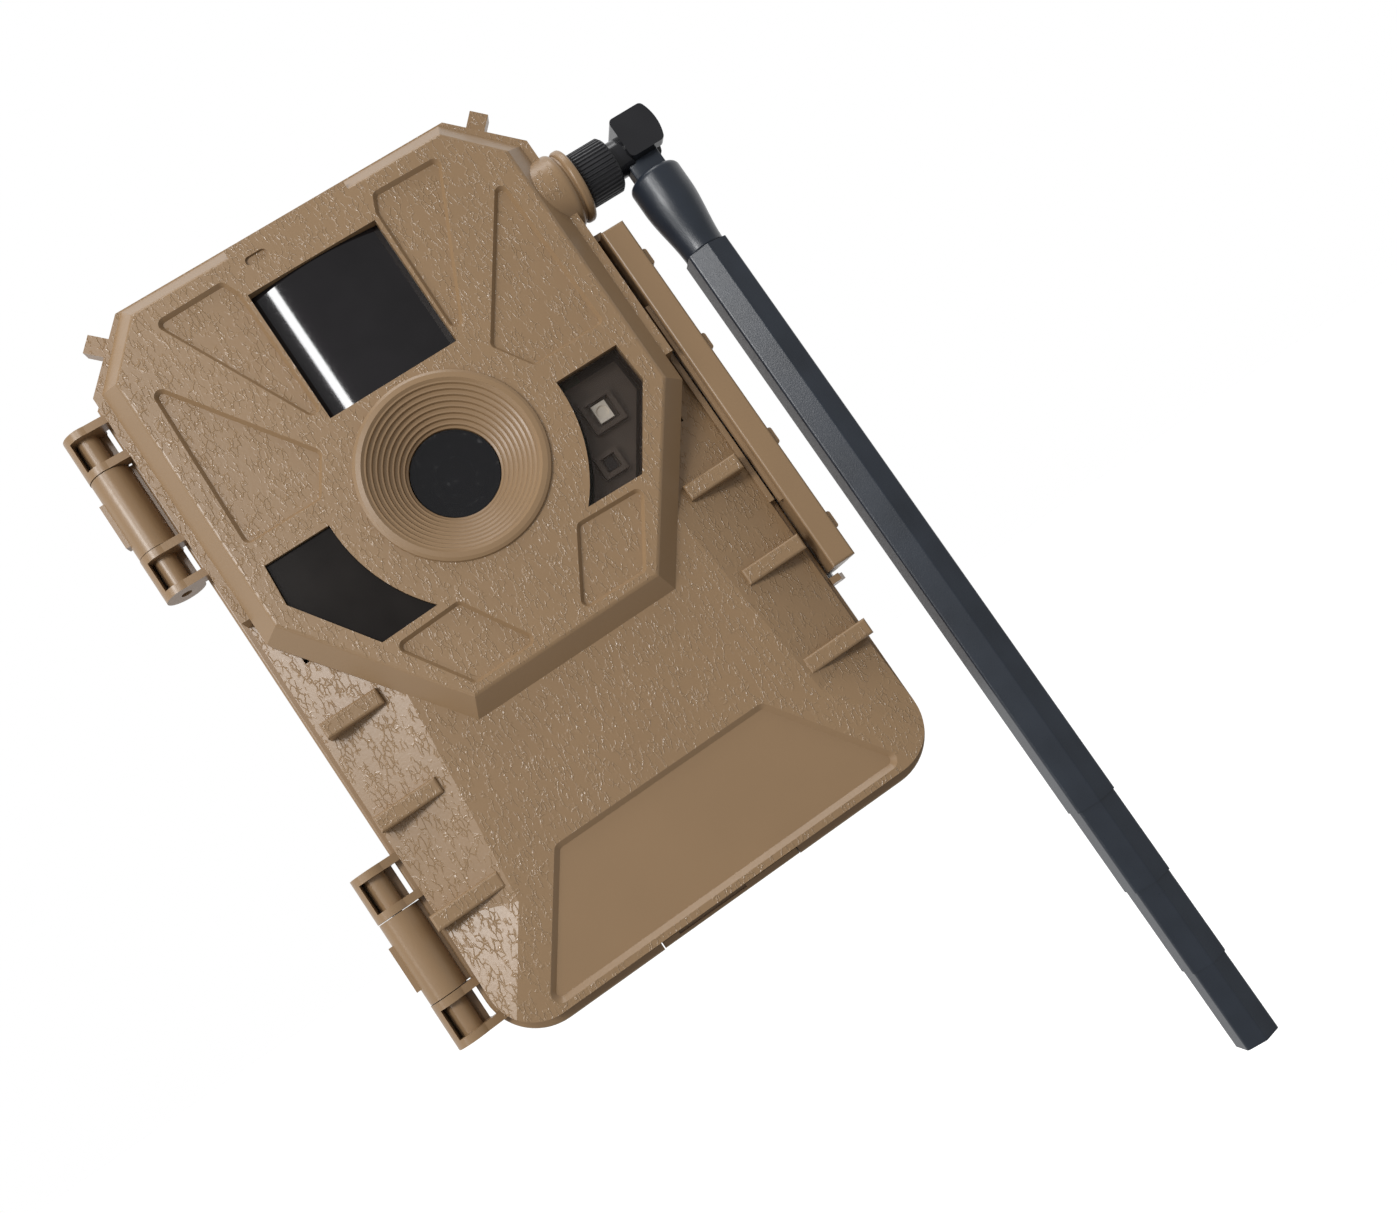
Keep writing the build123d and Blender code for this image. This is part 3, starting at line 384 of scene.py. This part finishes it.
# ---------------------------------------------------------------- antenna knuckle
def ring_surface(rings, start=0):
    """Points and faces of a closed skin over equal rings, an array of shape (rings, points, 3), ends capped.

    start is the number of points that stand before these in the same mesh.
    """
    count, size, _ = rings.shape
    first = start + np.arange(count - 1)[:, None] * size
    here = np.arange(size)[None, :]
    after = (here + 1) % size
    quads = np.stack([first + here, first + after, first + size + after, first + size + here], axis=-1)
    faces = quads.reshape(-1, 4).tolist()
    last = start + (count - 1) * size
    faces += [tuple(range(start + size - 1, start - 1, -1)), tuple(range(last, last + size))]
    return rings.reshape(-1, 3).tolist(), faces


def knuckle_skin(axis_point):
    """Round head that narrows to the blade.

    Going down, the radius rises as a quarter circle over the first CROWN, stays up to NECK_START, and then
    falls to the blade's half-width along the smooth step 3 t^2 - 2 t^3.
    """
    length = SEAM - KNUCKLE_TOP
    drop = np.concatenate([np.linspace(0, CROWN, 10), np.linspace(CROWN + 0.3, length, 60)])
    crown = np.sqrt(np.clip(1 - (1 - np.clip(drop / CROWN, 0, 1)) ** 2, 0, 1))
    fall = np.clip((drop - NECK_START) / (length - NECK_START), 0, 1)
    ease = fall * fall * (3 - 2 * fall)
    radius = (KNUCKLE_R - CROWN + CROWN * crown) * (1 - ease) + BLADE_HALF_W * ease
    angle = np.linspace(0, 2 * math.pi, 96, endpoint=False)
    x = radius[:, None] * np.cos(angle)
    y = radius[:, None] * np.sin(angle)
    z = np.broadcast_to(-(KNUCKLE_TOP + drop)[:, None], x.shape)
    points = np.stack([x, y, z], axis=-1) * MM + np.array(axis_point)
    return points[::-1]


def knuckle_tongue(axis_point):
    """Flat tongue round the pivot: a half circle over two straight sides, carried along Y.

    Its edges are rounded: near each face the outline shrinks by TONGUE_EDGE times 1 - sqrt(1 - u^2), where
    u runs from 0 to 1 over the last fifth of the way from the middle plane to the face.
    """
    angle = np.linspace(0, math.pi, 40)
    outline_x = np.concatenate([TONGUE_R * np.cos(angle), [-TONGUE_R, TONGUE_R]])
    outline_z = np.concatenate([TONGUE_R * np.sin(angle), [-TONGUE_DROP, -TONGUE_DROP]])
    t = np.linspace(-1, 1, 21)
    reach = np.clip((np.abs(t) - 0.8) / 0.2, 0, 1)
    shrink = 1 - TONGUE_EDGE * (1 - np.sqrt(1 - reach ** 2)) / TONGUE_R
    x = shrink[:, None] * outline_x
    z = shrink[:, None] * outline_z
    y = np.broadcast_to((t * TONGUE_HALF_T)[:, None], x.shape)
    return np.stack([x, y, z], axis=-1) * MM + np.array(axis_point)


def middle(node):
    """Centre of a node's box at rest."""
    low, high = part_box(node)
    return [(a + b) / 2 for a, b in zip(low, high)]


def add_knuckle(material):
    """The knuckle's head and tongue as one piece in place of the plain solid.

    It turns about the pin, and stands in the blade's middle plane.
    """
    pin_x, _, pin_z = middle("pivot_pin")
    tilt_axis = [pin_x, middle("antenna_blade")[1], pin_z]
    points, faces = ring_surface(knuckle_skin(tilt_axis))
    more_points, more_faces = ring_surface(knuckle_tongue(tilt_axis), len(points))
    mesh = bpy.data.meshes.new("antenna_knuckle_skin")
    mesh.from_pydata(points + more_points, [], faces + more_faces)
    outwards = bmesh.new()
    outwards.from_mesh(mesh)
    bmesh.ops.recalc_face_normals(outwards, faces=outwards.faces)
    outwards.to_mesh(mesh)
    outwards.free()
    mesh.shade_smooth()
    skin = bpy.data.objects.new("antenna_knuckle_skin", mesh)
    bpy.context.scene.collection.objects.link(skin)
    paint(skin, material)
    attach(skin, "antenna")
    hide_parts("antenna_knuckle")


# ---------------------------------------------------------------- studio
def world():
    """White surroundings behind the object and dimmer ones in front of it, so that its faces keep contrast.

    Brightness runs from FRONT_LIGHT where the direction's Y is -0.25 up to 1 where it is 0, and falls by a
    third, to LOW_LIGHT, towards straight down. Where nothing stands in front of it, it shows plain white.
    """
    studio = bpy.data.worlds.new("studio")
    studio.use_nodes = True
    sky = Nodes(studio.node_tree, "Background")
    direction = sky.node("ShaderNodeTexCoord", {}, {}, "Generated")
    backwards = sky.node("ShaderNodeSeparateXYZ", {}, {0: direction}, "Y")
    upwards = sky.node("ShaderNodeSeparateXYZ", {}, {0: direction}, "Z")
    from_front = FRONT_LIGHT + backwards.ramp(-0.25, 0.0) * (1 - FRONT_LIGHT)
    from_below = LOW_LIGHT + upwards.ramp(-0.9, 0.2) * (1 - LOW_LIGHT)
    seen = sky.node("ShaderNodeLightPath", {}, {}, "Is Camera Ray")
    sky.end.inputs["Color"].default_value = WHITE
    sky.feed("Strength", (from_front * from_below).maths("MAXIMUM", seen))
    bpy.context.scene.world = studio


def floor():
    """Pale floor just under the lowest point, wide enough to run out of every view."""
    low, _ = cad_box
    height = low[2] - FLOOR_GAP
    corners = [(x * FLOOR_HALF, y * FLOOR_HALF, height) for x, y in ((-1, -1), (1, -1), (1, 1), (-1, 1))]
    mesh = bpy.data.meshes.new("floor")
    mesh.from_pydata(corners, [], [(0, 1, 2, 3)])
    obj = bpy.data.objects.new("floor", mesh)
    bpy.context.scene.collection.objects.link(obj)
    glow = {"Emission_Color": WHITE, "Emission_Strength": FLOOR_GLOW}
    pale = Shader("pale_floor", Base_Color=FLOOR_PALE, Roughness=0.9, Specular_IOR_Level=0.0, **glow)
    paint(obj, pale.material)
    obj.visible_diffuse = False
    obj.visible_glossy = False


def soft_light(name, place, target, size, watts):
    """Rectangular lamp at place that faces target."""
    lamp = bpy.data.lights.new(name, "AREA")
    lamp.shape = "RECTANGLE"
    lamp.size, lamp.size_y = size
    lamp.energy = watts
    obj = bpy.data.objects.new(name, lamp)
    back = np.array(place, float) - np.array(target, float)
    back /= np.linalg.norm(back)
    side = np.cross((0, 0, 1.0), back)
    side /= np.linalg.norm(side)
    up = np.cross(back, side)
    turn = Matrix([[side[i], up[i], back[i]] for i in range(3)]).to_4x4()
    obj.matrix_world = Matrix.Translation(place) @ turn
    bpy.context.scene.collection.objects.link(obj)


def camera():
    """View from low on the left, rolled so that the case leans over."""
    lens = bpy.data.cameras.new("camera")
    lens.sensor_width = SENSOR_WIDTH
    lens.lens = FOCAL_LENGTH
    lens.clip_start = 0.01
    obj = bpy.data.objects.new("camera", lens)
    turn = Matrix([[right, up, -forward] for right, up, forward in zip(VIEW_RIGHT, VIEW_UP, VIEW_FORWARD)])
    obj.matrix_world = Matrix.Translation(VIEW_PLACE) @ turn.to_4x4()
    bpy.context.scene.collection.objects.link(obj)
    bpy.context.scene.camera = obj


finishes = paint_nodes()
add_knuckle(finishes["antenna_plastic"])
world()
floor()
for light in SOFT_LIGHTS:
    soft_light(*light)
camera()
bpy.context.scene.view_settings.view_transform = "Standard"
